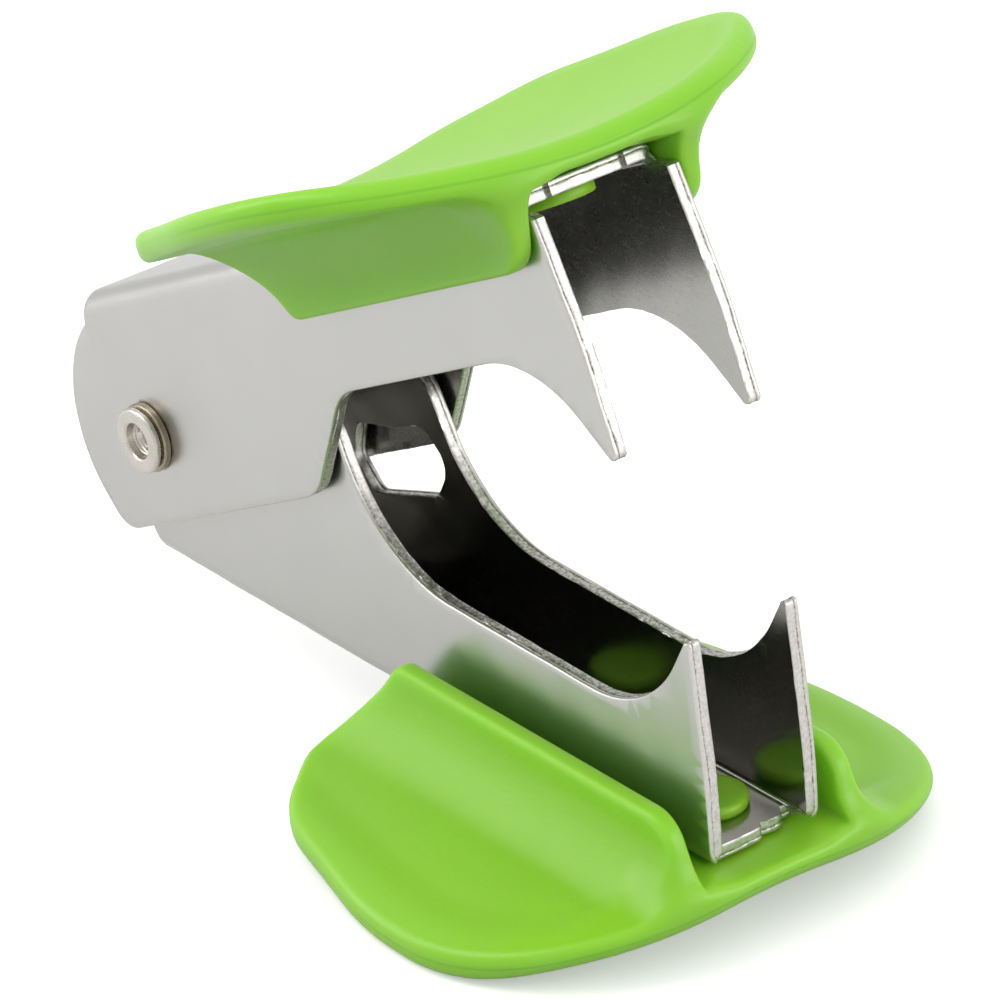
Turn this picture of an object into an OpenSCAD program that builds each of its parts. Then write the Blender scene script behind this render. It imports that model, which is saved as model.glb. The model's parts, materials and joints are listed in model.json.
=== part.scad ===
// Claw staple remover: two sheet steel jaws that nest, on one riveted pivot, opened by a
// torsion spring, each with a moulded plastic finger grip staked through its web.
// Millimetres. +Z up, +X towards the fangs, Y = 0 is the middle plane.
// Origin: middle of the bounding box in X and Y, on the ground plane under the lower grip.

/* [Opening] */
// Angle between the jaws when the spring holds them open
open_angle = 26.4; // [22:0.2:30]

/* [Jaws] */
// Thickness of the steel sheet
sheet_t = 1.0; // [0.8:0.1:1.2]
// Outside width of the upper (outer) jaw
upper_w = 11.4; // [11.2:0.1:12.4]
// Outside width of the lower (inner) jaw
lower_w = 8.6; // [8.0:0.1:8.8]
// Distance from the pivot axis to the outer face of each web
web_h = 10.0; // [9.6:0.1:11]
// Outside radius of the bends between web and side walls
bend_r = 1.4; // [1.3:0.1:1.8]
// Pivot axis to the front edge of the upper web
upper_len = 52.6; // [51.6:0.2:53.6]
// How much further the lower jaw reaches than the upper one
lower_extra = 2.8; // [2:0.2:3.4]
// Radius of the upper jaw's rear lobe about the pivot
upper_lobe_r = 8.8; // [8.4:0.1:9.2]
// Radius of the lower jaw's rear lobe about the pivot
lower_lobe_r = 8.0; // [7.6:0.1:8.2]
// How far the upper web's front edge stands behind its walls' front edges
upper_web_back = 1.6; // [1.2:0.1:1.7]
// How far the lower web's front edge stands behind its walls' front edges
lower_web_back = 0.9; // [0.6:0.1:1.2]
// How far the upper jaw's ears hang below the pivot axis
ear_drop = 5.9; // [5.4:0.1:6.4]
// How far the upper fangs hang below the pivot axis
upper_fang = 7.9; // [7.2:0.1:8.6]
// How far the lower fangs rise above the pivot axis
lower_fang = 6.3; // [5.6:0.1:7]

/* [Finger grips] */
// Width of a grip
grip_w = 38.4; // [34:0.4:42]
// Length of a grip
grip_len = 34.7; // [33:0.1:36]
// How far a grip's front edge reaches past the web
grip_lip = 1.7; // [1.2:0.1:2.2]
// Height of the rim above the web
rim_h = 5.2; // [4.8:0.1:5.4]
// Height above the web of a wing's underside at its outer edge
wing_h = 2.8; // [2.4:0.1:3.2]
// Plastic left over the web at the lowest point of the dish
dish_t = 1.75; // [1.4:0.05:2.2]
// Radius of the dish across the grip
dish_r = 52; // [48:1:60]
// Radius of the dish along the grip
dish_len_r = 300; // [240:5:400]
// Depth of the skirts that hug the side walls
skirt_h = 4.3; // [3.6:0.1:4.6]
// Thickness of a skirt
skirt_t = 1.5; // [1.2:0.1:1.8]

/* [Stakes] */
// Radius of the staked studs where they pass through the web
stud_r = 1.5; // [1.2:0.1:1.8]
// Radius of the flattened stud heads
head_r = 2.4; // [2.1:0.1:2.6]
// Thickness of the flattened stud heads
head_t = 0.8; // [0.6:0.1:1]

/* [Pivot and spring] */
// Radius of the rivet's barrel
rivet_r = 1.6; // [1.4:0.1:1.8]
// Outside radius of the rolled rivet end
roll_r = 2.2; // [2.1:0.1:2.4]
// Thickness of the rolled rivet end
roll_t = 0.6; // [0.5:0.1:0.9]
// Radius of the recess in the rolled end
recess_r = 1.2; // [0.9:0.1:1.2]
// Depth of the recess below the washer's outer face
recess_d = 0.4; // [0.2:0.1:1]
// Thickness of the washer under the rolled end
washer_t = 0.6; // [0.5:0.1:0.9]
// Radius of the spring wire
wire_r = 0.45; // [0.35:0.05:0.45]
// Slope of the spring legs against the webs
leg_angle = 25; // [22:1:30]

/* [Hidden] */

run_gap = 0.05;                                   // radial play on the rivet and studs
lower_len = upper_len + lower_extra;
grip_front = upper_len + grip_lip;                // in the upper jaw's own X
grip_rear = grip_front - grip_len;
dish_x = grip_front - 18.3;                       // lowest point of the dish
stud_x = [upper_len - 5.3, upper_len - 21.8];
notch_y = 2.9;                                    // die marks in the upper web's front edge
notch_w = 0.4;
notch_d = 0.5;
rivet_head_r = 2.4;
rivet_head_t = 0.9;
pivot_x = -(grip_front + lower_extra - upper_lobe_r) / 2;
pivot_z = web_h + rim_h;
upper_half = upper_w / 2;
lower_half = lower_w / 2;
coil_r = rivet_r + wire_r + 0.4;                  // centre line of the spring coil
coil_y = lower_half - sheet_t - wire_r - 0.55;    // half the coil's centre-line width
steel = [0.76, 0.76, 0.74];
plastic = [0.50, 0.80, 0.27];
$fa = 4;
$fs = 0.3;

// ---- outlines: corner points [x, y, radius], rounded by formula ----

function unit(v) = v / norm(v);
function xy(p) = [p[0], p[1]];
function arc(c, r, a0, a1, n) =
    [for (i = [0:n]) c + r * [cos(a0 + (a1 - a0) * i / n), sin(a0 + (a1 - a0) * i / n)]];
function turn(a) = a > 180 ? a - 360 : a < -180 ? a + 360 : a;
function corner(a, p, b) =
    p[2] == 0 ? [xy(p)] :
    let (u = unit(xy(a) - xy(p)), v = unit(xy(b) - xy(p)),
         half = acos(u * v) / 2,
         c = xy(p) + unit(u + v) * p[2] / sin(half),
         s = xy(p) + u * p[2] / tan(half) - c,
         e = xy(p) + v * p[2] / tan(half) - c,
         a0 = atan2(s[1], s[0]),
         sweep = turn(atan2(e[1], e[0]) - a0))
    arc(c, p[2], a0, a0 + sweep, max(2, ceil(abs(sweep) / (p[2] > 5 ? 5 : 12))));
function rounded(pts) =
    let (n = len(pts))
    [for (i = [0:n - 1]) each corner(pts[(i + n - 1) % n], pts[i], pts[(i + 1) % n])];
function flip_y(pts) = [for (i = [len(pts) - 1:-1:0]) [pts[i][0], -pts[i][1], pts[i][2]]];
function sharp(pts) = [for (p = pts) [p[0], p[1], 0]];

// Side view of the upper jaw: rear lobe, ear below the pivot, straight edge, fang.
function upper_side() = rounded(concat(
    [[-2.6, web_h, 0.4],
     [upper_len, web_h, 0],
     [upper_len + 0.6, 0.5, 40],
     [upper_len + 0.1, -upper_fang, 0.4],
     [upper_len - 5.3, 0.25, 10],
     [24.4, 0.25, 4],
     [17.6, -ear_drop, 4],
     [-7.2, -ear_drop, 2.2]],
    sharp(arc([0, 0], upper_lobe_r, 200, 113, 16))));

// Side view of the lower jaw, drawn the right way up: web at the bottom, fang upwards.
function lower_side() = rounded(concat(
    [[-1.9, -web_h, 0.8]],
    [[lower_len, -web_h, 0],
     [lower_len + 0.1, -5, 60],
     [lower_len - 1.0, lower_fang, 0.3],
     [lower_len - 5.4, -1.5, 10],
     [23.05, -1.25, 11.5],
     [18.2, lower_lobe_r, 3]],
    sharp(arc([0, 0], lower_lobe_r, 90, 244, 24))));

// Opening in the lower jaw's +Y wall, just in front of the spring.
function window() = rounded([
    [9.9, -1.0, 1], [11.9, -3.0, 0.8], [18.8, -0.7, 1.3], [20.3, 1.9, 1.6],
    [17.7, 4.0, 1.4], [14.6, 2.6, 1], [10.6, 1.6, 0.8]]);

// Plan view of a grip, in the upper jaw's X: blunt front, widest ahead of the middle.
function grip_plan() =
    let (w = grip_w / 2, f = grip_front, r = grip_rear,
         side = [[f, w - 8.9, 16], [f - 8, w, 13], [f - 17.9, w, 25],
                 [r + 4.8, w - 3.0, 9], [r, w - 8.6, 6]])
    rounded(concat(side, flip_y(side)));

// Section across a grip: dished pad above, one fillet each side, two skirts below. Both jaws
// use the same moulding, so its skirts fit the upper jaw and stand clear of the lower one.
function grip_section() =
    let (w = grip_w / 2 + 1, inner = upper_half + run_gap, out = inner + skirt_t,
         right = [[w, rim_h, 0], [w, wing_h, 0], [out + 0.15, 0.2, 3.4],
                  [out, -skirt_h, 0.7], [inner, -skirt_h, 0.4], [inner, 0, 0]])
    rounded(concat(right, [for (i = [5:-1:0]) [-right[i][0], right[i][1], right[i][2]]]));

// Side view of a grip: flat against the web, skirts with a sloping rear and round front.
function grip_side() = rounded([
    [grip_rear - 0.5, rim_h + 1, 0], [grip_front + 1, rim_h + 1, 0], [grip_front + 1, 0, 0],
    [upper_len + 0.1, 0, 0.6], [upper_len - 0.1, -skirt_h, 2.6],
    [grip_rear + 4.9, -skirt_h, 1.6], [grip_rear, 2, 1]]);

// ---- placement ----

module at_pivot() { translate([pivot_x, 0, pivot_z]) children(); }
module at_upper() { at_pivot() rotate([0, -open_angle, 0]) children(); }

// A 2D outline in X and Z, as a slab centred on Y = 0.
module slab(w) { translate([0, w / 2, 0]) rotate([90, 0, 0]) linear_extrude(w) children(); }
// A 2D section in Y and Z, drawn out along X.
module along_x(x0, x1) {
    translate([x0, 0, 0]) rotate([90, 0, 90]) linear_extrude(x1 - x0) children();
}

// ---- sheet steel ----

module round_top(w, h, r) {
    translate([-w / 2, -h]) square([w, 2 * h - r]);
    translate([r - w / 2, -h]) square([w - 2 * r, 2 * h]);
    for (s = [-1, 1]) translate([s * (w / 2 - r), h - r]) circle(r);
}

// Channel with its web on top, walls hanging down.
module channel(w) {
    along_x(-upper_lobe_r - 2, lower_len + 2) difference() {
        round_top(w, web_h, bend_r);
        round_top(w - 2 * sheet_t, web_h - sheet_t, bend_r - sheet_t);
    }
}

module pivot_bore(w) {
    rotate([90, 0, 0]) cylinder(r = rivet_r + run_gap, h = w + 4, center = true);
}

module stud_holes(shift) {
    for (x = stud_x) translate([x + shift, 0, web_h - 2 * sheet_t])
        cylinder(r = stud_r + run_gap, h = 3 * sheet_t);
}

// Cuts the web's front edge back, over the width given.
module web_step(len, width, back) {
    translate([len - back, -width / 2, web_h - bend_r]) cube([back + 3, width, bend_r + 1]);
}

module upper_jaw() {
    color(steel) at_upper() difference() {
        intersection() {
            channel(upper_w);
            slab(upper_w + 2) polygon(upper_side());
        }
        pivot_bore(upper_w);
        stud_holes(0);
        web_step(upper_len, upper_w + 2, upper_web_back);
        // die marks in the web's front edge
        for (s = [-1, 1])
            translate([upper_len - upper_web_back - notch_d, s * notch_y - notch_w / 2,
                       web_h - 2 * sheet_t])
                cube([3, notch_w, 3 * sheet_t]);
    }
}

module lower_jaw() {
    color(steel) at_pivot() difference() {
        intersection() {
            rotate([180, 0, 0]) channel(lower_w);
            slab(lower_w + 2) polygon(lower_side());
        }
        pivot_bore(lower_w);
        rotate([180, 0, 0]) {
            stud_holes(lower_extra);
            web_step(lower_len, lower_w - 2 * bend_r, lower_web_back);
        }
        translate([0, lower_half, 0]) slab(2.4 * sheet_t) polygon(window());
    }
}

// ---- plastic ----

// Dish for the fingers: a large torus, so the surface is concave both ways.
module dish() {
    translate([dish_x, 0, dish_t + dish_len_r]) rotate([90, 0, 0])
        rotate_extrude($fn = 240) translate([dish_len_r - dish_r, 0]) circle(dish_r, $fn = 180);
}

module stake() {
    translate([0, 0, -sheet_t]) cylinder(r = stud_r, h = sheet_t + 0.2);
    translate([0, 0, -sheet_t - head_t * 0.6]) cylinder(r = head_r, h = head_t * 0.6);
    translate([0, 0, -sheet_t - head_t])
        cylinder(r1 = head_r - 0.5, r2 = head_r, h = head_t * 0.4);
}

// One grip, Z = 0 on the web's outer face and +Z towards the finger.
module grip() {
    difference() {
        intersection() {
            along_x(grip_rear - 1, grip_front + 1) polygon(grip_section());
            translate([0, 0, -skirt_h - 1]) linear_extrude(rim_h + skirt_h + 3)
                polygon(grip_plan());
            slab(grip_w + 4) polygon(grip_side());
        }
        dish();
    }
    for (x = stud_x) translate([x, 0, 0]) stake();
}

module upper_grip() {
    color(plastic) at_upper() translate([0, 0, web_h]) grip();
}

module lower_grip() {
    color(plastic) at_pivot() translate([lower_extra, 0, -web_h]) rotate([180, 0, 0]) grip();
}

// ---- pivot ----

// Tubular rivet: flat factory head on +Y, end rolled over the washer on -Y.
module pivot_rivet() {
    head = -upper_half;
    roll = upper_half + washer_t;
    edge = 0.2;
    color(steel) at_pivot() rotate([90, 0, 0]) rotate_extrude() polygon([
        [0, head - rivet_head_t], [rivet_head_r * 0.7, head - rivet_head_t],
        [rivet_head_r, head - rivet_head_t / 2], [rivet_head_r, head], [rivet_r, head],
        [rivet_r, roll], [roll_r, roll], [roll_r, roll + roll_t - edge],
        [roll_r - edge, roll + roll_t], [recess_r + edge, roll + roll_t],
        [recess_r, roll + roll_t - edge], [recess_r, roll - recess_d], [0, roll - recess_d]]);
}

module pivot_washer() {
    color(steel) at_pivot() translate([0, -upper_half, 0]) rotate([90, 0, 0])
        difference() {
            cylinder(r = roll_r + 0.15, h = washer_t);
            translate([0, 0, -1]) cylinder(r = rivet_r + run_gap, h = washer_t + 2);
        }
}

// ---- torsion spring: a tube swept along legs and coil ----

function leg_len() = (web_h - sheet_t - 0.04 - wire_r * cos(leg_angle)
                      - coil_r * cos(leg_angle)) / sin(leg_angle);
coil_a0 = -90 - leg_angle;                        // where the lower leg leaves the coil
coil_a1 = 90 + leg_angle + open_angle - 360 * 5;  // where the upper leg leaves it
coil_n = 128;
// centre-line points as [angle about the pivot, distance out along the leg, y]
spring_path = concat(
    [[coil_a0, leg_len(), -coil_y], [coil_a0, leg_len() / 2, -coil_y]],
    [for (i = [0:coil_n]) [coil_a0 + (coil_a1 - coil_a0) * i / coil_n, 0,
                           coil_y * (2 * i / coil_n - 1)]],
    [[coil_a1, -leg_len() / 2, coil_y], [coil_a1, -leg_len(), coil_y]]);
wire_n = 14;
function wire_ring(p) =
    let (c = cos(p[0]), s = sin(p[0]))
    [for (j = [0:wire_n - 1])
        let (a = 360 * j / wire_n, r = coil_r + wire_r * cos(a))
        [r * c - p[1] * s, p[2] + wire_r * sin(a), r * s + p[1] * c]];

module torsion_spring() {
    n = len(spring_path);
    pts = [for (p = spring_path) each wire_ring(p)];
    walls = [for (i = [0:n - 2], j = [0:wire_n - 1])
        let (k = (j + 1) % wire_n)
        [i * wire_n + j, (i + 1) * wire_n + j, (i + 1) * wire_n + k, i * wire_n + k]];
    ends = [[for (j = [0:wire_n - 1]) j],
            [for (j = [wire_n - 1:-1:0]) (n - 1) * wire_n + j]];
    color(steel) at_pivot() polyhedron(pts, concat(walls, ends));
}

lower_jaw();
lower_grip();
upper_jaw();
upper_grip();
pivot_rivet();
pivot_washer();
torsion_spring();
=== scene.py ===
"""Looks for the claw staple remover: moulded grips, stamped and bent jaws, rivet and spring.

Local work is in millimetres about the pivot: x forward, y across, z up from the pivot, in the
axes of the jaw concerned. Each piece is turned into the row frame, in metres, when it is made.
"""

import json
import math

import bpy
import numpy as np
from mathutils import Matrix, Vector
from mathutils.geometry import delaunay_2d_cdt


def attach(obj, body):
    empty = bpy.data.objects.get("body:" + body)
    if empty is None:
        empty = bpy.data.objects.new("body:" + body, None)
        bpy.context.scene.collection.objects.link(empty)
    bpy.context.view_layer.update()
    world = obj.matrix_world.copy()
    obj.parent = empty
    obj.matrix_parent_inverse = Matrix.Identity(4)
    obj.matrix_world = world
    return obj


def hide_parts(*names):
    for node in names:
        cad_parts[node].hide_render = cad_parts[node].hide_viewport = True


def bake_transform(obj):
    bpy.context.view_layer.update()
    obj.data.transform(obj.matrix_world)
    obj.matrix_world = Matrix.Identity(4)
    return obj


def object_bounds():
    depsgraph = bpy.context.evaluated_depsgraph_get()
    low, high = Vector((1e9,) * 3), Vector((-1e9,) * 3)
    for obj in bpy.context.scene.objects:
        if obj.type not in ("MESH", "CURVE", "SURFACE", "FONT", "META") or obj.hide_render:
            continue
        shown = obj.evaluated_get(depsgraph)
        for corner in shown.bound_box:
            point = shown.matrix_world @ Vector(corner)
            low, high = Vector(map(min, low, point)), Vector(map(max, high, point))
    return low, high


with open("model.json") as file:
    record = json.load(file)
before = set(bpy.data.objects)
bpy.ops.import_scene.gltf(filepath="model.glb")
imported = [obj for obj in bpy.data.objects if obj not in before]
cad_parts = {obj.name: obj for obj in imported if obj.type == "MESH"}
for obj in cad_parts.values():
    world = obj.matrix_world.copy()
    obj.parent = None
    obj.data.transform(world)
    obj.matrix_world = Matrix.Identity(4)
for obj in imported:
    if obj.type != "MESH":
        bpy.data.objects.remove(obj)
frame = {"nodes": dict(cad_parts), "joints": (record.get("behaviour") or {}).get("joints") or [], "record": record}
cad_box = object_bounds()
rng = np.random.default_rng(7)

MM = 0.001
PIVOT = np.array(frame["joints"][0]["pos_m"]) / MM


# ---- sizes, from the frame where the frame has them ----

def turn(tilt):
    """Matrix that lifts +x by tilt about the pivot axis."""
    c, s = math.cos(tilt), math.sin(tilt)
    return np.array([[c, 0, -s], [0, 1, 0], [s, 0, c]])


def web_tilt(node):
    """Angle between a jaw's web and the ground, from its largest face that looks up."""
    webs = [p for p in frame["nodes"][node].data.polygons
            if abs(p.normal.y) < 0.01 and p.normal.z > 0.2]
    web = max(webs, key=lambda p: p.area)
    return math.atan2(-web.normal.x, web.normal.z)


def own_box(node, tilt):
    """Box of a CAD node in its jaw's own axes about the pivot, in millimetres."""
    co = np.array([v.co for v in frame["nodes"][node].data.vertices]) / MM - PIVOT
    co = co @ turn(tilt)
    return co.min(0), co.max(0)


OPEN = web_tilt("upper_jaw")
_, UPPER_TOP = own_box("upper_jaw", OPEN)
_, LOWER_TOP = own_box("lower_jaw", 0)
GRIP_LOW, GRIP_TOP = own_box("upper_grip", OPEN)
WEB_H = UPPER_TOP[2]                      # pivot to a web's outer face
UPPER_HALF = UPPER_TOP[1]
LOWER_HALF = LOWER_TOP[1]
GRIP_FRONT = GRIP_TOP[0]
GRIP_REAR = GRIP_LOW[0]
GRIP_HALF = GRIP_TOP[1]
LOWER_EXTRA = own_box("lower_grip", 0)[1][0] - GRIP_FRONT

LIP = 1.7                                 # grip's front edge ahead of the jaw's walls
UPPER_LEN = GRIP_FRONT - LIP
LOWER_LEN = UPPER_LEN + LOWER_EXTRA
SHEET = 1.0
BEND_R = 1.4
UPPER_WEB_BACK = 1.6                      # web's front edge behind the walls' front edges
LOWER_WEB_BACK = 0.9
MARK_IN, MARK_OUT = 2.66, 3.12            # sides of a die mark, from the web's middle
MARK_D = 0.5
MARK_SLANT = 0.06
BORE_R = 1.65
WASHER_T = 0.6
ROLL_T = 0.6                              # rolled end of the rivet, outside the washer
STUD_R = 1.5
STUD_GAP = 0.05                           # between a stud and its hole
HEAD_R = 2.4
HEAD_T = 0.8
STUD_X = (UPPER_LEN - 5.3, UPPER_LEN - 21.8)
SKIRT_H = 4.5
SKIRT_IN = UPPER_HALF + 0.05
SKIRT_OUT = SKIRT_IN + 1.5
DISH_T = 1.75                             # dish's lowest point above the web
DISH_X = GRIP_FRONT - 18.3
DISH_R = 52.0
DISH_LEN_R = 300.0
PAD_T = 2.05
PAD_HOLLOW = 0.5                          # how much thinner the wings are
SCOOP_BACK = 6.0                          # the wings' hollow runs this far past the rear edge
FILLET = 3.5                              # between pad and skirts
SEAM_DEPTH = 1.25                         # parting line below the finger face


# ---- outlines: corner points (x, z, radius) ----

def rounded(corners, step=0.25):
    """Closed outline through corner points, each rounded by its own radius."""
    out = []
    for i, (x, z, r) in enumerate(corners):
        p = np.array((x, z), float)
        if r == 0:
            out.append(p)
            continue
        a = np.array(corners[i - 1][:2]) - p
        b = np.array(corners[(i + 1) % len(corners)][:2]) - p
        a /= np.linalg.norm(a)
        b /= np.linalg.norm(b)
        half = math.acos(np.clip(a @ b, -1, 1)) / 2
        centre = p + (a + b) / np.linalg.norm(a + b) * r / math.sin(half)
        start = p + a * r / math.tan(half) - centre
        end = p + b * r / math.tan(half) - centre
        first = math.atan2(start[1], start[0])
        sweep = math.atan2(end[1], end[0]) - first
        sweep = (sweep + math.pi) % (2 * math.pi) - math.pi
        n = max(2, math.ceil(abs(sweep) * r / step))
        for k in range(n + 1):
            t = first + sweep * k / n
            out.append(centre + r * np.array((math.cos(t), math.sin(t))))
    return np.array(out)


def lobe(radius, first, last, n):
    """Corner points along the rear lobe about the pivot, between two angles in degrees."""
    angles = np.radians(np.linspace(first, last, n))
    return [(radius * math.cos(a), radius * math.sin(a), 0) for a in angles]


def upper_side():
    """Side view of the upper jaw, from the web's front edge round to its rear edge."""
    front = UPPER_LEN
    return rounded([
        (front, WEB_H, 0), (front + 0.6, 0.5, 40), (front + 0.1, -7.9, 0.4),
        (front - 5.3, 0.25, 10), (24.4, 0.25, 4), (17.6, -5.9, 4), (-7.2, -5.9, 2.2),
        *lobe(8.8, 200, 113, 30), (-2.6, WEB_H, 0.4)])


def lower_side():
    """Side view of the lower jaw, upside down so that its web is on top like the other."""
    front = LOWER_LEN
    return rounded([
        (front, WEB_H, 0), (front + 0.1, 5, 60), (front - 1.0, -6.3, 0.3),
        (front - 5.4, 1.5, 10), (23.05, 1.25, 11.5), (18.2, -8.0, 3),
        *lobe(8.0, -90, -244, 44), (-1.9, WEB_H, 0.8)])


def window():
    """Opening in the lower jaw's +Y wall, in the same upside-down view."""
    return rounded([
        (9.9, 1.0, 1), (11.9, 3.0, 0.8), (18.8, 0.7, 1.3), (20.3, -1.9, 1.6),
        (17.7, -4.0, 1.4), (14.6, -2.6, 1), (10.6, -1.6, 0.8)])


def grip_plan(rear):
    """Plan view of a grip whose rear edge is at the given x."""
    f, w = GRIP_FRONT, GRIP_HALF
    side = [(f, w - 8.9, 16), (f - 8, w, 13), (f - 17.9, w, 25),
            (rear + 4.8, w - 3.0, 9), (rear, w - 8.6, 6)]
    return rounded(side + [(x, -y, r) for x, y, r in reversed(side)], 1.0)


REAR_LOW = np.array((GRIP_REAR + 4.9, -SKIRT_H))    # ends of the sloping rear edge, in x and z
REAR_HIGH = np.array((GRIP_REAR, 2.0))


def skirt_side():
    """Side view of the skirts: sloping rear, round front corner."""
    return rounded([
        (UPPER_LEN, 3, 0), (UPPER_LEN, -SKIRT_H, 2.6),
        (*REAR_LOW, 1.6), (*REAR_HIGH, 0), (GRIP_REAR, 3, 0)], 0.5)


# ---- mesh tools ----

def make_piece(name, verts, faces, origin, tilt, over, body, material, values=None):
    """Mesh object from local millimetre points; over turns it upside down about x."""
    pts = np.asarray(verts, float)
    faces = [tuple(f) for f in faces]
    if over:
        pts = pts * (1, -1, -1)
    pts = (pts + origin) @ turn(tilt).T + PIVOT
    mesh = bpy.data.meshes.new(name)
    mesh.from_pydata((pts * MM).tolist(), [], faces)
    for key, data in (values or {}).items():
        layer = mesh.attributes.new(key, "FLOAT", "POINT")
        layer.data.foreach_set("value", np.asarray(data, np.float32))
    mesh.shade_smooth()
    mesh.materials.append(material)
    obj = bpy.data.objects.new(name, mesh)
    bpy.context.scene.collection.objects.link(obj)
    if body:
        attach(obj, body)
    return obj


def outline_distance(x, y, outline):
    """Signed distance to a closed outline in its own plane, negative inside."""
    shape = np.broadcast(x, y).shape
    px = np.broadcast_to(x, shape).ravel()
    py = np.broadcast_to(y, shape).ravel()
    best = np.full(px.shape, 1e9)
    inside = np.zeros(px.shape, bool)
    for (ax, ay), (bx, by) in zip(outline, np.roll(outline, -1, 0)):
        ex, ey = bx - ax, by - ay
        if ex == 0 and ey == 0:
            continue
        t = np.clip(((px - ax) * ex + (py - ay) * ey) / (ex * ex + ey * ey), 0, 1)
        best = np.minimum(best, (px - ax - t * ex) ** 2 + (py - ay - t * ey) ** 2)
        crosses = (ay > py) != (by > py)
        with np.errstate(divide="ignore", invalid="ignore"):
            at = ax + (py - ay) * ex / ey if ey else np.full(px.shape, np.inf)
        inside ^= crosses & (px < at)
    d = np.sqrt(best)
    return np.where(inside, -d, d).reshape(shape)


def both(a, b, r):
    """Intersection of two distances, with the shared edge rounded by r."""
    u, v = np.maximum(a + r, 0), np.maximum(b + r, 0)
    return np.minimum(-r, np.maximum(a, b)) + np.hypot(u, v)


def either(a, b, r):
    """Union of two distances, with a fillet of radius r."""
    u, v = np.maximum(r - a, 0), np.maximum(r - b, 0)
    return np.maximum(r, np.minimum(a, b)) - np.hypot(u, v)


def ramp(value, low, high):
    """Smooth step from 0 at low to 1 at high."""
    t = np.clip((value - low) / (high - low), 0, 1)
    return t * t * (3 - 2 * t)


def surface_nets(field, low, step):
    """Quads around the zero level of a sampled field, one vertex to each crossed cell."""
    inside = field < 0
    count = sum(inside[i:i - 1 or None, j:j - 1 or None, k:k - 1 or None][
        :inside.shape[0] - 1, :inside.shape[1] - 1, :inside.shape[2] - 1].astype(np.int8)
        for i in (0, 1) for j in (0, 1) for k in (0, 1))
    cells = (count > 0) & (count < 8)
    index = np.full(cells.shape, -1)
    index[cells] = np.arange(cells.sum())
    verts = (np.argwhere(cells) + 0.5) * step + low
    quads = []
    for axis in range(3):
        a = np.moveaxis(inside, axis, 0)
        idx = np.moveaxis(index, axis, 0)
        change = a[1:, 1:-1, 1:-1] != a[:-1, 1:-1, 1:-1]
        up = a[:-1, 1:-1, 1:-1][change]
        i, j, k = np.argwhere(change).T
        ring = np.stack([idx[i, j, k], idx[i, j + 1, k], idx[i, j + 1, k + 1],
                         idx[i, j, k + 1]], 1)
        flip = up if axis != 1 else ~up
        ring[~flip] = ring[~flip][:, ::-1]
        quads.append(ring)
    return verts, np.concatenate(quads)


# ---- grips ----

def dish(x, y):
    """Height of the finger dish above the web."""
    return DISH_T + y ** 2 / (2 * DISH_R) + (x - DISH_X) ** 2 / (2 * DISH_LEN_R)


def grip_field(x, y, z, plan, scoop, side):
    """Signed distance to one grip: z is 0 on the web's outer face, up to the finger."""
    ay = np.abs(y)
    top_z = dish(x, y)
    slope = 1 / np.hypot(1, y / DISH_R)
    edge_r = 0.95 + 0.75 * ramp(x, GRIP_FRONT - 9, GRIP_FRONT - 3)
    outside = both((z - top_z) * slope, plan - 0.15, edge_r)
    hollow = ramp(-scoop, 1.2, 4.4) * ramp(GRIP_FRONT - 3.4 - x, 0, 2.4)
    thick = PAD_T - PAD_HOLLOW * hollow * ramp(ay, SKIRT_OUT, SKIRT_OUT + 3)
    under_z = np.logaddexp((top_z - thick) * 5, 0) / 5
    skirt = both(np.maximum(ay - SKIRT_OUT, SKIRT_IN - ay), side, 0.45)
    body = either((under_z - z) * slope, skirt, FILLET)
    body = both(body, -both(ay - SKIRT_IN, z, 0.2), 0.3)
    body = both(body, outside, 0.55)
    run = REAR_HIGH - REAR_LOW
    run /= np.linalg.norm(run)
    rear = (x - REAR_LOW[0]) * -run[1] + (z - REAR_LOW[1]) * run[0]
    body = both(body, rear, 0.6)
    for sx in STUD_X:
        radial = np.hypot(x - sx, y)
        shank = np.maximum(radial - STUD_R, np.maximum(z - 0.5, -SHEET - 0.4 - z))
        head = both(radial - HEAD_R, np.abs(z + SHEET + HEAD_T / 2) - HEAD_T / 2, 0.22)
        body = np.minimum(body, np.minimum(shank, head))
    return body


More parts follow.
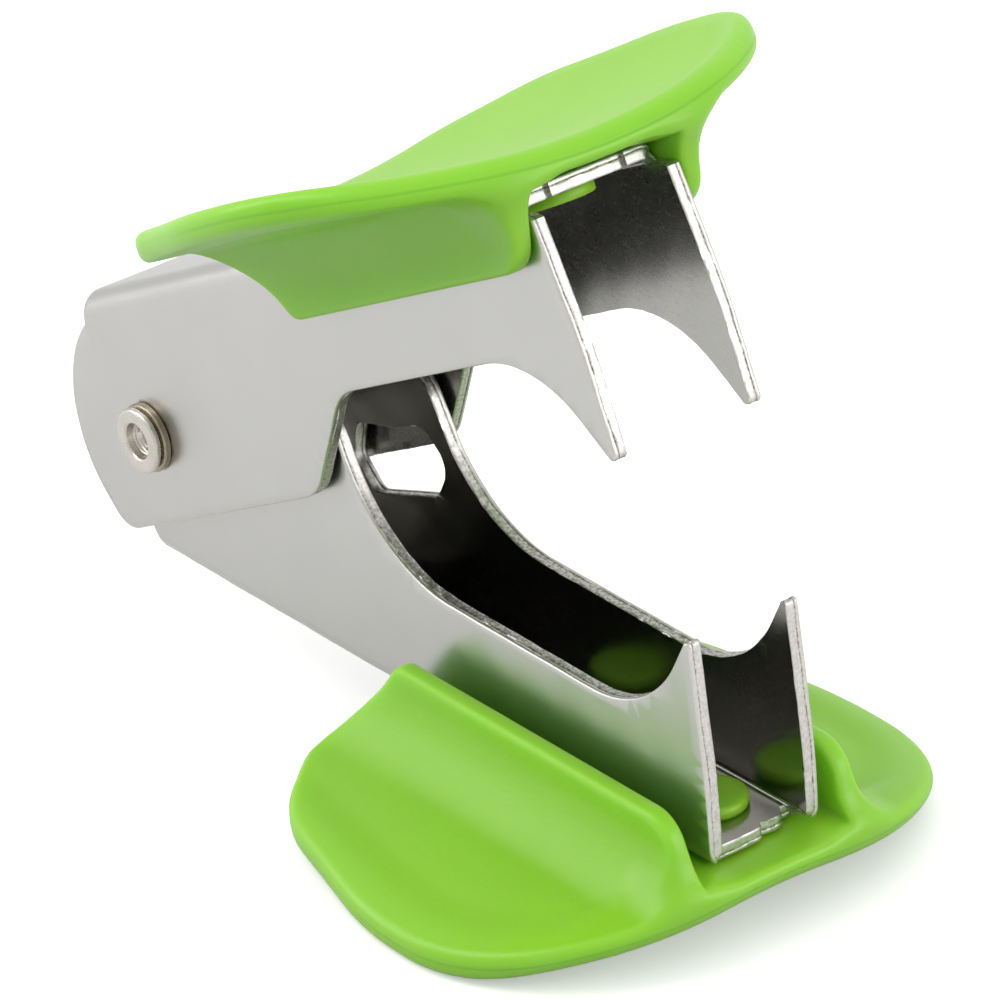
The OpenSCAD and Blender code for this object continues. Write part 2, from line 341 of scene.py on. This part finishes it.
def grip_mesh(step):
    """Points, quads and surface values of the grip moulding, in the upper jaw's x."""
    plan_outline = grip_plan(GRIP_REAR)
    scoop_outline = grip_plan(GRIP_REAR - SCOOP_BACK)
    side_outline = skirt_side()
    low = np.array((GRIP_REAR - 1, -GRIP_HALF - 1, -SKIRT_H - 1))
    high = np.array((GRIP_FRONT + 1, GRIP_HALF + 1, GRIP_TOP[2] - WEB_H + 1))
    n = np.ceil((high - low) / step).astype(int) + 1
    x = (low[0] + step * np.arange(n[0]))[:, None, None]
    y = (low[1] + step * np.arange(n[1]))[None, :, None]
    z = (low[2] + step * np.arange(n[2]))[None, None, :]

    def at(px, py, pz):
        return grip_field(px, py, pz, outline_distance(px, py, plan_outline),
                          outline_distance(px, py, scoop_outline),
                          outline_distance(px, pz, side_outline))

    field = at(x, y, z)
    verts, quads = surface_nets(field, low, step)
    shift = 0.02
    for _ in range(4):
        value = at(*verts.T)
        grad = np.stack([
            at(*(verts + shift * axis).T) - at(*(verts - shift * axis).T)
            for axis in np.eye(3)], 1) / (2 * shift)
        size = np.maximum((grad ** 2).sum(1), 0.3)
        move = -value[:, None] * grad / size[:, None]
        length = np.maximum(np.linalg.norm(move, axis=1, keepdims=True), 1e-9)
        verts += move * np.minimum(1, 0.5 * step / length)
        verts = relax(verts, quads, grad)
    x, y, z = verts.T
    plan = outline_distance(x, y, plan_outline)
    depth = dish(x, y) - z
    finger = ramp(-depth, -0.12, -0.03) * ramp(-plan, 1.0, 2.2)
    scoop = ramp(-outline_distance(x, y, scoop_outline), 1.8, 3.0) * ramp(depth, 1.0, 1.3)
    grain = np.maximum(finger, scoop * ramp(GRIP_FRONT - 4.5 - x, 0, 1))
    seam = ramp(plan, -0.25, -0.05) * ramp(x, GRIP_FRONT - 22, GRIP_FRONT - 14)
    return verts, quads, {"grain": grain, "depth": depth, "seam": seam}


def relax(verts, quads, grad):
    """Evens out the spacing of the points, moving them only along the surface."""
    total = np.zeros_like(verts)
    count = np.zeros(len(verts))
    for k in range(4):
        np.add.at(total, quads[:, k], verts[quads[:, k - 1]])
        np.add.at(count, quads[:, k], 1)
    move = total / count[:, None] - verts
    normal = grad / np.maximum(np.linalg.norm(grad, axis=1, keepdims=True), 1e-9)
    move -= normal * (move * normal).sum(1, keepdims=True)
    return verts + 0.4 * move


def build_grips(material):
    """Both grips are the same moulding; the lower one is turned over and moved forward."""
    verts, quads, values = grip_mesh(0.26)
    pts = verts + (0, 0, WEB_H)
    for body, tilt, over, shift in (("upper", OPEN, False, 0), ("lower", 0, True, LOWER_EXTRA)):
        piece = make_piece(body + "_grip_moulding", pts, quads, (shift, 0, 0), tilt, over, body,
                           material, values)
        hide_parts(body + "_grip")


# ---- jaws: a flat blank with a cut edge, bent into a channel ----

FIBRE = BEND_R - SHEET / 2                # radius that sets the bend's developed length
BLANK_STEP = 0.3                          # between points along a cut edge
# the cut edge at depths through the sheet: how far it stands in from the outline, how
# ragged it is there, and how dark and torn
CUT_DEPTH = (0.0, 0.04, 0.12, 0.30, 0.36, 0.42, 0.58, 0.78, 0.93, 1.0)
CUT_INSET = (0.13, 0.05, 0.0, 0.0, 0.05, 0.015, 0.02, 0.015, 0.02, 0.06)
CUT_ROUGH = (0.0, 0.0, 0.0, 0.003, 0.014, 0.012, 0.014, 0.014, 0.016, 0.014)
CRACK = (0.0, 0.0, 0.0, 0.05, 0.95, 0.6, 0.5, 0.5, 0.6, 0.4)


def unfold(points, half):
    """Side view points (x, z) as places on the flat blank: x, and s from the web's middle."""
    flat = half - BEND_R
    below = WEB_H - BEND_R - points[:, 1]
    angle = np.arccos(np.clip(-below / BEND_R, 0, 1))
    s = flat + angle * FIBRE + np.maximum(below, 0)
    return np.stack([points[:, 0], s], 1)


def fold(x, s, t, half):
    """Places on the blank at depth t below the outer face, bent into the channel."""
    flat = half - BEND_R
    side, s = np.sign(s), np.abs(s)
    angle = np.clip((s - flat) / FIBRE, 0, math.pi / 2)
    run = np.minimum(s, flat)
    drop = np.maximum(s - flat - FIBRE * math.pi / 2, 0)
    y = run + (BEND_R - t) * np.sin(angle)
    z = WEB_H - BEND_R + (BEND_R - t) * np.cos(angle) - drop
    return np.stack([x, side * y, z], -1)


def dense(points, step, closed=True):
    """The same line with extra points, so that none are further apart than step."""
    ends = np.roll(points, -1, 0) if closed else points[1:]
    out = []
    for a, b in zip(points, ends):
        n = max(1, math.ceil(np.linalg.norm(b - a) / step))
        out.extend(a + (b - a) * k / n for k in range(n))
    if not closed:
        out.append(points[-1])
    out = np.array(out)
    keep = np.linalg.norm(np.roll(out, -1, 0) - out, axis=1) > 0.04
    return out[keep]


def wander(n, smooth, size):
    """Closed run of n smooth random offsets of about the given size."""
    raw = rng.normal(size=n)
    kernel = np.hanning(smooth + 2)[1:-1]
    wide = np.concatenate([raw, raw[:smooth]])
    out = np.convolve(wide, kernel / np.linalg.norm(kernel), "same")[:n]
    return size * out


def blank_outline(side, half, right_edge, left_edge):
    """Closed outline of the flat blank. The edges run along the web's front, from its middle
    out to the walls, each as places (x, s)."""
    wall = unfold(dense(side, BLANK_STEP, closed=False), half)
    ends = []
    for edge in (right_edge, left_edge):
        edge = np.array(edge)
        ahead = (wall[:, 0] > 10) & (wall[:, 1] < edge[-1, 1] + 0.08)
        ends.append(np.concatenate([edge, wall[~ahead & (wall[:, 1] > 0.05)]]))
    right, left = ends
    return dense(np.concatenate([right, (left * (1, -1))[::-1]]), BLANK_STEP)


def upper_blank():
    """Web edge behind the wall edges, with two die marks and a relief notch at each bend."""
    flat = UPPER_HALF - BEND_R
    front = UPPER_LEN
    back = front - UPPER_WEB_BACK
    edge = [
        (back, 0), (back, MARK_IN), (back - MARK_D, MARK_IN + MARK_SLANT),
        (back - MARK_D, MARK_OUT - MARK_SLANT), (back, MARK_OUT),
        (back, flat + 0.4), (back - 0.15, flat + 0.66), (back - 0.6, flat + 0.8),
        (back - 0.7, flat + 1.05), (back - 0.5, flat + 1.3), (front - 0.6, flat + 1.45),
        (front - 0.12, flat + 1.58)]
    return blank_outline(upper_side(), UPPER_HALF, edge, edge)


def lower_blank():
    """Web edge behind the wall edges; it is torn further back towards the +Y wall."""
    flat = LOWER_HALF - BEND_R
    front = LOWER_LEN
    back = front - LOWER_WEB_BACK
    right = [
        (back, 0.1), (back + 0.05, 1.2), (back + 0.05, flat), (back + 0.15, flat + 0.4),
        (front - 0.1, flat + 0.65)]
    left = [
        (back - 0.03, 0.3), (back - 0.12, 0.55), (back - 0.48, 0.8), (back - 0.4, 1.1),
        (back - 0.3, 1.7), (back - 0.4, 2.2), (back - 0.6, flat - 0.35),
        (back - 1.15, flat - 0.05), (back - 1.0, flat + 0.4), (back - 0.1, flat + 0.68),
        (front - 0.1, flat + 0.8)]
    return blank_outline(lower_side(), LOWER_HALF, right, left)


def circle(x, s, r):
    """Round outline, the other way round from the blank's."""
    a = np.linspace(0, 2 * math.pi, 44, endpoint=False)
    return np.stack([x + r * np.cos(a), s - r * np.sin(a)], 1)


def signed_area(outline):
    """Positive for an outline that runs anticlockwise."""
    nxt = np.roll(outline, -1, 0)
    return 0.5 * np.sum(outline[:, 0] * nxt[:, 1] - nxt[:, 0] * outline[:, 1])


def cut_rings(outline, first):
    """Places, depths, crack values and quads of the cut edge along one outline, which runs
    with the steel on its left. Its first point gets the given index."""
    tangent = np.roll(outline, -1, 0) - np.roll(outline, 1, 0)
    normal = np.stack([tangent[:, 1], -tangent[:, 0]], 1)
    normal /= np.linalg.norm(normal, axis=1, keepdims=True)
    n = len(outline)
    torn = np.clip(1.3 - 1.2 * normal[:, 0], 0.15, 1)    # edges that face forward are cleaner
    coarse = wander(n, 15, 0.3)
    places, depths, crack = [], [], []
    for depth, inset, rough, dark in zip(CUT_DEPTH, CUT_INSET, CUT_ROUGH, CRACK):
        ragged = np.clip(wander(n, 3, rough) * (1 + coarse), -0.06, 0.06)
        places.append(outline - normal * (inset + ragged + 0.02)[:, None])
        shift = 0.08 * coarse if 0.2 < depth < 0.6 else 0
        depths.append(depth * SHEET + shift + np.zeros(n))
        crack.append(dark * (np.ones(n) if dark == max(CRACK) else torn))
    i = np.arange(n)
    quads = []
    for k in range(len(CUT_DEPTH) - 1):
        a, b = first + k * n + i, first + k * n + (i + 1) % n
        quads.append(np.stack([a, a + n, b + n, b], 1))
    return (np.concatenate(places), np.concatenate(depths), np.concatenate(crack),
            np.concatenate(quads))


def face_points(loops, half):
    """Inner points of a blank's face: even rows, closer together along the bends."""
    flat = half - BEND_R
    length = FIBRE * math.pi / 2
    low, high = loops[0].min(0), loops[0].max(0)
    bend_rows = [flat + length * k / 7 for k in range(8)]
    wall_rows = list(np.arange(flat + length + 0.7, high[1], 1.2))
    web_rows = list(np.linspace(0.4, flat - 0.5, 4))
    pts = []
    for s in bend_rows + wall_rows + web_rows:
        gap = 0.45 if s in bend_rows else 1.2
        xs = np.arange(low[0] + gap * 0.5, high[0], gap)
        for sign in (-1, 1):
            pts.append(np.stack([xs, np.full(len(xs), sign * s)], 1))
    pts = np.concatenate(pts)
    clear = np.ones(len(pts), bool)
    for k, loop in enumerate(loops):
        d = outline_distance(pts[:, 0], pts[:, 1], loop)
        clear &= (d < -0.2) if k == 0 else (d > 0.2)
    return pts[clear]


def fill(loops, half):
    """Triangles between the outer loop and the holes; the loops' points come first."""
    inner = face_points(loops, half)
    pts = np.concatenate(loops + [inner])
    edges, start = [], 0
    for loop in loops:
        n = len(loop)
        edges += [(start + i, start + (i + 1) % n) for i in range(n)]
        start += n
    out = delaunay_2d_cdt([Vector(p) for p in pts], edges, [], 0, 1e-7)
    co = np.array([tuple(v) for v in out[0]])
    tris = np.array([f for f in out[2] if len(f) == 3])
    mid = co[tris].mean(1)
    keep = outline_distance(mid[:, 0], mid[:, 1], loops[0]) < 0
    for hole in loops[1:]:
        keep &= outline_distance(mid[:, 0], mid[:, 1], hole) > 0
    if len(co) != len(pts):
        raise RuntimeError("the outline crosses itself")
    return inner, tris[keep]


def jaw_mesh(blank, holes, half):
    """Points, faces and surface values of one jaw, from its flat outline and holes."""
    loops = [blank] + [h if signed_area(h) < 0 else h[::-1] for h in holes]
    places, depths, crack, faces, cut = [], [], [], [], []
    outer_ring, inner_ring, total = [], [], 0
    for loop in loops:
        place, depth, dark, quads = cut_rings(loop, total)
        n = len(loop)
        outer_ring.append(np.arange(total, total + n))
        inner_ring.append(np.arange(total + len(place) - n, total + len(place)))
        places.append(place)
        depths.append(depth)
        crack.append(dark)
        cut.append(np.ones(len(place)))
        faces += [tuple(q) for q in quads]
        total += len(place)
    ring_places = np.concatenate(places)
    for rings, depth, out_face in ((outer_ring, 0.0, True), (inner_ring, SHEET, False)):
        inner, tris = fill([ring_places[r] for r in rings], half)
        index = np.concatenate(rings + [np.arange(total, total + len(inner))])
        tris = index[tris]
        faces += [tuple(t) for t in (tris if out_face else tris[:, ::-1])]
        places.append(inner)
        depths.append(np.full(len(inner), depth))
        crack.append(np.zeros(len(inner)))
        cut.append(np.zeros(len(inner)))
        total += len(inner)
    place, depth = np.concatenate(places), np.concatenate(depths)
    wave = 0.012 * np.sin(place[:, 0] * 0.55 + 1.3) * np.sin(place[:, 1] * 0.5)
    wave += 0.008 * np.sin(place[:, 0] * 1.35 + place[:, 1] * 0.9)
    verts = fold(place[:, 0], place[:, 1], depth + wave, half)
    # 1 on the inner face: where the jaw steel paints shade and makes the face glossier
    inside = np.clip((depth - 0.5) / 0.4, 0, 1)
    cut_value = np.concatenate(cut)
    for rings in (outer_ring, inner_ring):
        for r in rings:
            cut_value[r] = 0
    return verts, faces, {"cut": cut_value, "crack": np.concatenate(crack), "inside": inside}


def jaw_holes(half, shift):
    """Bores for the pivot in both walls, and holes in the web for the grip's studs."""
    wall_s = unfold(np.array([(0.0, 0.0)]), half)[0, 1]
    bores = [circle(0, s, BORE_R) for s in (wall_s, -wall_s)]
    return bores + [circle(x + shift, 0, STUD_R + STUD_GAP) for x in STUD_X]


def build_jaws(material):
    """Both jaws, each from its own blank. Their inner faces get painted shade, less on the upper one."""
    upper = jaw_mesh(upper_blank(), jaw_holes(UPPER_HALF, 0), UPPER_HALF)
    # the lower jaw is turned over, so its +Y wall is on the blank's -s side
    opening = dense(unfold(window(), LOWER_HALF) * (1, -1), BLANK_STEP)
    holes = jaw_holes(LOWER_HALF, LOWER_EXTRA) + [opening]
    lower = jaw_mesh(lower_blank(), holes, LOWER_HALF)
    for body, data, tilt, over, inside_shade in (
            ("upper", upper, OPEN, False, 0.45),
            ("lower", lower, 0, True, 0.9)):
        verts, faces, values = data
        # how much painted shade each jaw's inner faces get; it also scales their gloss and bump
        values["inside"] = values["inside"] * inside_shade
        piece = make_piece(body + "_jaw_sheet", verts, faces, (0, 0, 0), tilt, over, body,
                           material, values)
        piece.data.set_sharp_from_angle(angle=math.radians(40))
        weighted = piece.modifiers.new("even_shading", "WEIGHTED_NORMAL")
        weighted.keep_sharp = True
        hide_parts(body + "_jaw")


# ---- turned and wound parts ----

def lathe(profile, n=72):
    """Closed ring of (radius, y) points turned about the pivot axis."""
    m = len(profile)
    angles = 2 * math.pi * np.arange(n) / n
    verts = [(r * math.cos(a), y, r * math.sin(a)) for a in angles for r, y in profile]
    faces = []
    for i in range(n):
        j = (i + 1) % n
        faces += [(i * m + k, i * m + (k + 1) % m, j * m + (k + 1) % m, j * m + k)
                  for k in range(m)]
    return verts, faces


def soft(corners):
    """Lathe profile through (radius, y, rounding) corners."""
    return [tuple(p) for p in rounded(corners, 0.06)]


def build_rivet(materials):
    """Tubular rivet with a rolled end on -Y and a low domed head on +Y, and its washer."""
    out = -UPPER_HALF
    seat = out - WASHER_T                 # where the rolled end sits on the washer
    face = seat - ROLL_T
    floor = seat + 0.1
    rivet = soft([
        (1.6, seat, 0.05), (2.05, seat, 0.05), (2.0, seat - 0.16, 0.05),
        (2.24, seat - 0.2, 0.08), (2.24, face + 0.02, 0.26),
        (1.22, face, 0.22), (1.16, floor, 0.1), (0.9, floor + 0.02, 0.1),
        (0.8, floor + 0.3, 0.1), (0.02, floor + 0.32, 0), (0.02, -out + 0.9, 0),
        (1.7, -out + 0.88, 0.5), (2.4, -out + 0.4, 0.3), (2.4, -out + 0.02, 0.1),
        (1.6, -out + 0.02, 0.03)])
    ring = soft([
        (1.66, out - 0.02, 0.05), (2.35, out - 0.02, 0.1), (2.35, seat + 0.1, 0.16),
        (2.1, seat + 0.02, 0.1), (1.66, seat + 0.02, 0.05)])
    for name, profile, node, material in (
            ("rivet_turned", rivet, "pivot_rivet", materials["rivet_steel"]),
            ("washer_ring", ring, "pivot_washer", materials["washer_steel"])):
        verts, faces = outward(*lathe(profile))
        piece = make_piece(name, verts, faces, (0, 0, 0), OPEN, False, "upper", material)
        piece.data.set_sharp_from_angle(angle=math.radians(50))
        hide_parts(node)


def outward(verts, faces):
    """Turns the faces over if the closed mesh is inside out."""
    v = np.asarray(verts, float)
    volume = 0
    for f in faces:
        for k in range(1, len(f) - 1):
            volume += np.dot(v[f[0]], np.cross(v[f[k]], v[f[k + 1]]))
    return verts, faces if volume > 0 else [f[::-1] for f in faces]


def build_spring(material):
    """Torsion spring: coil around the rivet and one leg to each web, bending between jaws."""
    wire, coil_r, turns = 0.45, 2.45, 4
    coil_y = LOWER_HALF - SHEET - wire - 0.55
    slope = math.radians(25)
    leg = (WEB_H - SHEET - 0.04 - (wire + coil_r) * math.cos(slope)) / math.sin(slope)
    first = -math.pi / 2 - slope
    last = math.pi / 2 + slope + OPEN - 2 * math.pi * (turns + 1)
    path = [(first, leg * (1 - k / 12), -coil_y) for k in range(12)]
    n = 220
    for k in range(n + 1):
        path.append((first + (last - first) * k / n, 0, coil_y * (2 * k / n - 1)))
    path += [(last, -leg * k / 12, coil_y) for k in range(1, 13)]
    sides = 16
    verts = []
    for a, run, y in path:
        for j in range(sides):
            t = 2 * math.pi * j / sides
            r = coil_r + wire * math.cos(t)
            verts.append((r * math.cos(a) - run * math.sin(a), y + wire * math.sin(t),
                          r * math.sin(a) + run * math.cos(a)))
    rows = len(path)
    faces = [(i * sides + j, i * sides + (j + 1) % sides,
              (i + 1) * sides + (j + 1) % sides, (i + 1) * sides + j)
             for i in range(rows - 1) for j in range(sides)]
    faces.append(tuple(range(sides))[::-1])
    faces.append(tuple(range((rows - 1) * sides, rows * sides)))
    verts, faces = outward(verts, faces)
    piece = make_piece("spring_wire", verts, faces, (0, 0, 0), 0, False, None, material)
    piece.data.set_sharp_from_angle(angle=math.radians(60))
    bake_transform(piece)
    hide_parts("torsion_spring")


# ---- materials ----

def new_material(name):
    """Empty node material; returns it with its shader and a helper that adds nodes."""
    material = bpy.data.materials.new(name)
    material.use_nodes = True
    tree = material.node_tree
    shader = tree.nodes["Principled BSDF"]

    def add(kind, **inputs):
        node = tree.nodes.new(kind)
        for key, value in inputs.items():
            if key in ("operation", "data_type", "attribute_name"):
                setattr(node, key, value)
                continue
            socket = node.inputs[int(key[1:])] if key[1:].isdigit() else node.inputs[key]
            if isinstance(value, bpy.types.NodeSocket):
                tree.links.new(value, socket)
            else:
                socket.default_value = value
        return node

    return material, shader, tree, add


def noise(tree, add, scale, detail=3.0, stretch=(1, 1, 1)):
    """Noise in the piece's own coordinates; scale is in ripples per metre."""
    place = tree.nodes.new("ShaderNodeTexCoord").outputs["Object"]
    mapping = add("ShaderNodeMapping", Vector=place, Scale=stretch)
    return add("ShaderNodeTexNoise", Vector=mapping.outputs[0], Scale=scale,
               Detail=detail).outputs["Fac"]


def between(add, value, low, high):
    """Maps 0..1 to low..high."""
    return add("ShaderNodeMapRange", Value=value, _3=low, _4=high).outputs[0]


def math_node(add, operation, a, b=0.0):
    """Result of one arithmetic node."""
    return add("ShaderNodeMath", operation=operation, _0=a, _1=b).outputs[0]


def mix_color(add, factor, a, b):
    """Colour a where the factor is 0 and b where it is 1."""
    return add("ShaderNodeMix", data_type="RGBA", _0=factor, _6=a, _7=b).outputs[2]


def mix_value(add, factor, a, b):
    """Number a where the factor is 0 and b where it is 1."""
    return add("ShaderNodeMix", data_type="FLOAT", _0=factor, _2=a, _3=b).outputs[0]


def plastic():
    """Lime green moulding: translucent, finely grained faces, smoother rims, a parting line groove with painted
    shade in it.
    """
    material, shader, tree, add = new_material("lime_plastic")
    grain = add("ShaderNodeAttribute", attribute_name="grain").outputs["Fac"]
    depth = add("ShaderNodeAttribute", attribute_name="depth").outputs["Fac"]
    seam = add("ShaderNodeAttribute", attribute_name="seam").outputs["Fac"]
    away = math_node(add, "ABSOLUTE", math_node(add, "SUBTRACT", depth, SEAM_DEPTH))
    seam_groove_shade = add("ShaderNodeMapRange", Value=away, _1=0.03, _2=0.14, _3=1.0, _4=0.0).outputs[0]
    seam_groove_shade = math_node(add, "MULTIPLY", seam_groove_shade, seam)
    cloud = noise(tree, add, 90.0)
    base = mix_color(add, cloud, (0.25, 0.575, 0.020, 1), (0.29, 0.63, 0.034, 1))
    # painted shade: the parting line's groove is darkened in the colour, as well as cut in by the bump
    base = mix_color(add, math_node(add, "MULTIPLY", seam_groove_shade, 0.25), base, (0.09, 0.32, 0.02, 1))
    tree.links.new(base, shader.inputs["Base Color"])
    speckle = noise(tree, add, 5200.0, 2.0)
    rough = math_node(add, "ADD", between(add, grain, 0.33, 0.44),
                      between(add, speckle, -0.05, 0.05))
    tree.links.new(rough, shader.inputs["Roughness"])
    shader.inputs["IOR"].default_value = 1.45
    shader.inputs["Specular IOR Level"].default_value = 0.55
    shader.inputs["Subsurface Weight"].default_value = 0.85
    shader.inputs["Subsurface Radius"].default_value = (1.8, 2.8, 0.5)
    shader.inputs["Subsurface Scale"].default_value = 0.001
    fine = noise(tree, add, 3600.0, 2.0)
    lump = noise(tree, add, 420.0, 2.0)
    height = math_node(add, "MULTIPLY", fine, between(add, grain, 0.12, 1.0))
    height = math_node(add, "ADD", height, math_node(add, "MULTIPLY", lump, 1.2))
    height = math_node(add, "SUBTRACT", height, math_node(add, "MULTIPLY", seam_groove_shade, 2.0))
    bump = add("ShaderNodeBump", Strength=0.35, Distance=0.00003, Height=height)
    tree.links.new(bump.outputs[0], shader.inputs["Normal"])
    return material


def jaw_steel():
    """Nickel plated sheet: satin outside, glossier inside, bright rough cut edges; the inner faces are darkened
    with painted shade.
    """
    material, shader, tree, add = new_material("jaw_steel")
    cut = add("ShaderNodeAttribute", attribute_name="cut").outputs["Fac"]
    crack = add("ShaderNodeAttribute", attribute_name="crack").outputs["Fac"]
    inside = add("ShaderNodeAttribute", attribute_name="inside").outputs["Fac"]
    stain = noise(tree, add, 130.0)
    outer = mix_color(add, stain, (0.50, 0.495, 0.48, 1), (0.55, 0.545, 0.525, 1))
    # painted shade: the inner faces' colour is darkened to stand in for the shade inside the channel
    inner = mix_color(add, stain, (0.25, 0.245, 0.225, 1), (0.33, 0.325, 0.30, 1))
    face = mix_color(add, inside, outer, inner)
    speck = noise(tree, add, 4500.0, 3.0)
    edge = mix_color(add, speck, (0.50, 0.485, 0.45, 1), (0.74, 0.72, 0.68, 1))
    pit = add("ShaderNodeMapRange", Value=speck, _1=0.42, _2=0.56, _3=1.0, _4=0.0).outputs[0]
    full = add("ShaderNodeMapRange", Value=crack, _1=0.6, _2=0.95, _3=0.0, _4=0.6).outputs[0]
    pit = math_node(add, "MAXIMUM", math_node(add, "MULTIPLY", crack, pit), full)
    edge = mix_color(add, pit, edge, (0.07, 0.055, 0.04, 1))
    color = mix_color(add, cut, face, edge)
    tree.links.new(color, shader.inputs["Base Color"])
    shader.inputs["Metallic"].default_value = 1.0
    brushed = noise(tree, add, 900.0, 3.0, (1.0, 1.0, 7.0))
    grainy = noise(tree, add, 4200.0, 2.0)
    outer_rough = math_node(add, "ADD", between(add, brushed, 0.27, 0.37),
                            between(add, grainy, -0.03, 0.03))
    inner_rough = math_node(add, "ADD", between(add, brushed, 0.13, 0.21),
                            between(add, grainy, -0.02, 0.04))
    rough = mix_value(add, cut, mix_value(add, inside, outer_rough, inner_rough), 0.42)
    tree.links.new(rough, shader.inputs["Roughness"])
    peel = noise(tree, add, 2600.0, 1.0)
    height = math_node(add, "ADD", math_node(add, "MULTIPLY", brushed, 0.5), grainy)
    height = math_node(add, "ADD", height, math_node(add, "MULTIPLY", cut, speck))
    peel = math_node(add, "MULTIPLY", peel, 0.4)
    height = math_node(add, "ADD", height, math_node(add, "MULTIPLY", inside, peel))
    bump = add("ShaderNodeBump", Strength=between(add, inside, 0.2, 0.04),
               Distance=0.00002, Height=height)
    tree.links.new(bump.outputs[0], shader.inputs["Normal"])
    return material


def plain_steel(name, dark, light, rough):
    """Turned or drawn steel with a little colour and roughness variation."""
    material, shader, tree, add = new_material(name)
    stain = noise(tree, add, 700.0)
    tree.links.new(mix_color(add, stain, dark, light), shader.inputs["Base Color"])
    shader.inputs["Metallic"].default_value = 1.0
    grainy = noise(tree, add, 3500.0)
    tree.links.new(between(add, grainy, rough - 0.06, rough + 0.1), shader.inputs["Roughness"])
    bump = add("ShaderNodeBump", Strength=0.2, Distance=0.00002, Height=grainy)
    tree.links.new(bump.outputs[0], shader.inputs["Normal"])
    return material


# ---- studio ----

def build_camera():
    """Long lens at the fang end, a little above the object and to its -Y side."""
    azimuth, elevation, roll = (math.radians(a) for a in (54.35, 27.94, -4.27))
    distance, lens = 563.1 * MM, 323.4
    back = Vector((math.sin(azimuth) * math.cos(elevation),
                   -math.cos(azimuth) * math.cos(elevation), math.sin(elevation)))
    side = Vector((math.cos(azimuth), math.sin(azimuth), 0))
    up = back.cross(side)
    right = side * math.cos(roll) + up * math.sin(roll)
    up = back.cross(right)
    aim = Vector((PIVOT + (28.94, 0.94, 3.82)) * MM)
    cam = bpy.data.objects.new("camera", bpy.data.cameras.new("camera"))
    bpy.context.scene.collection.objects.link(cam)
    axes = Matrix((right, up, back)).transposed().to_4x4()
    cam.matrix_world = Matrix.Translation(aim + back * distance) @ axes
    cam.data.lens = lens
    cam.data.clip_start = 0.01
    cam.data.clip_end = 10
    bpy.context.scene.camera = cam


def area_light(name, place, size, power):
    """Soft square lamp aimed at the middle of the object."""
    data = bpy.data.lights.new(name, "AREA")
    data.size = size
    data.energy = power
    lamp = bpy.data.objects.new(name, data)
    bpy.context.scene.collection.objects.link(lamp)
    lo, hi = cad_box
    target = (lo + hi) / 2
    lamp.location = target + Vector(place)
    lamp.rotation_euler = (target - lamp.location).to_track_quat("-Z", "Y").to_euler()


def build_floor():
    """Pale floor under the lower grip."""
    half = 3.0
    corners = [(-half, -half, 0), (half, -half, 0), (half, half, 0), (-half, half, 0)]
    mesh = bpy.data.meshes.new("floor")
    mesh.from_pydata(corners, [], [(0, 1, 2, 3)])
    material, shader, tree, add = new_material("pale_floor")
    tint = mix_color(add, noise(tree, add, 4.0), (0.90, 0.90, 0.90, 1), (0.94, 0.94, 0.94, 1))
    path = tree.nodes.new("ShaderNodeLightPath").outputs
    bounced = mix_color(add, path["Is Diffuse Ray"], tint, (0.4, 0.4, 0.4, 1))
    tree.links.new(bounced, shader.inputs["Base Color"])
    shader.inputs["Roughness"].default_value = 0.7
    shader.inputs["Emission Color"].default_value = (1, 1, 1, 1)
    glow = math_node(add, "MULTIPLY", path["Is Camera Ray"], 0.35)
    tree.links.new(glow, shader.inputs["Emission Strength"])
    mesh.materials.append(material)
    floor = bpy.data.objects.new("floor", mesh)
    bpy.context.scene.collection.objects.link(floor)


def build_world():
    """Even white studio, a little darker low down."""
    world = bpy.data.worlds.new("studio")
    bpy.context.scene.world = world
    world.use_nodes = True
    tree = world.node_tree
    sky = tree.nodes["Background"]
    place = tree.nodes.new("ShaderNodeTexCoord").outputs["Generated"]
    split = tree.nodes.new("ShaderNodeSeparateXYZ")
    tree.links.new(place, split.inputs[0])
    level = tree.nodes.new("ShaderNodeMapRange")
    tree.links.new(split.outputs[2], level.inputs[0])
    for socket, value in zip(level.inputs[1:5], (-0.1, 0.9, 0.80, 0.90)):
        socket.default_value = value
    tree.links.new(level.outputs[0], sky.inputs["Strength"])
    sky.inputs["Color"].default_value = (1, 1, 1, 1)


def paint_frame(materials):
    """The CAD nodes get the same finishes as the pieces that stand for them."""
    for row in frame["record"]["subparts"]:
        mesh = frame["nodes"][row["node"]].data
        mesh.materials.clear()
        mesh.materials.append(materials[row["material_slot"]])


finishes = {
    "grip_plastic": plastic(),
    "jaw_steel": jaw_steel(),
    "rivet_steel": plain_steel("rivet_steel", (0.50, 0.47, 0.42, 1), (0.66, 0.63, 0.58, 1), 0.26),
    # painted reflection: the washer's dark brown stands in for the dark surroundings its sides reflect
    "washer_steel": plain_steel("washer_steel", (0.10, 0.08, 0.055, 1), (0.50, 0.43, 0.33, 1), 0.2),
    "spring_steel": plain_steel("spring_steel", (0.20, 0.19, 0.18, 1), (0.32, 0.31, 0.29, 1), 0.3),
}
paint_frame(finishes)
build_grips(finishes["grip_plastic"])
build_jaws(finishes["jaw_steel"])
build_rivet(finishes)
build_spring(finishes["spring_steel"])
build_floor()
build_world()
area_light("front_lamp", (0.57, 0.36, 0.21), 0.40, 1.3)
area_light("top_lamp", (-0.33, -0.40, 0.62), 0.45, 1.5)
area_light("side_lamp", (-0.55, -0.42, 0.22), 0.35, 0.9)
build_camera()
bpy.context.scene.view_settings.view_transform = "Standard"
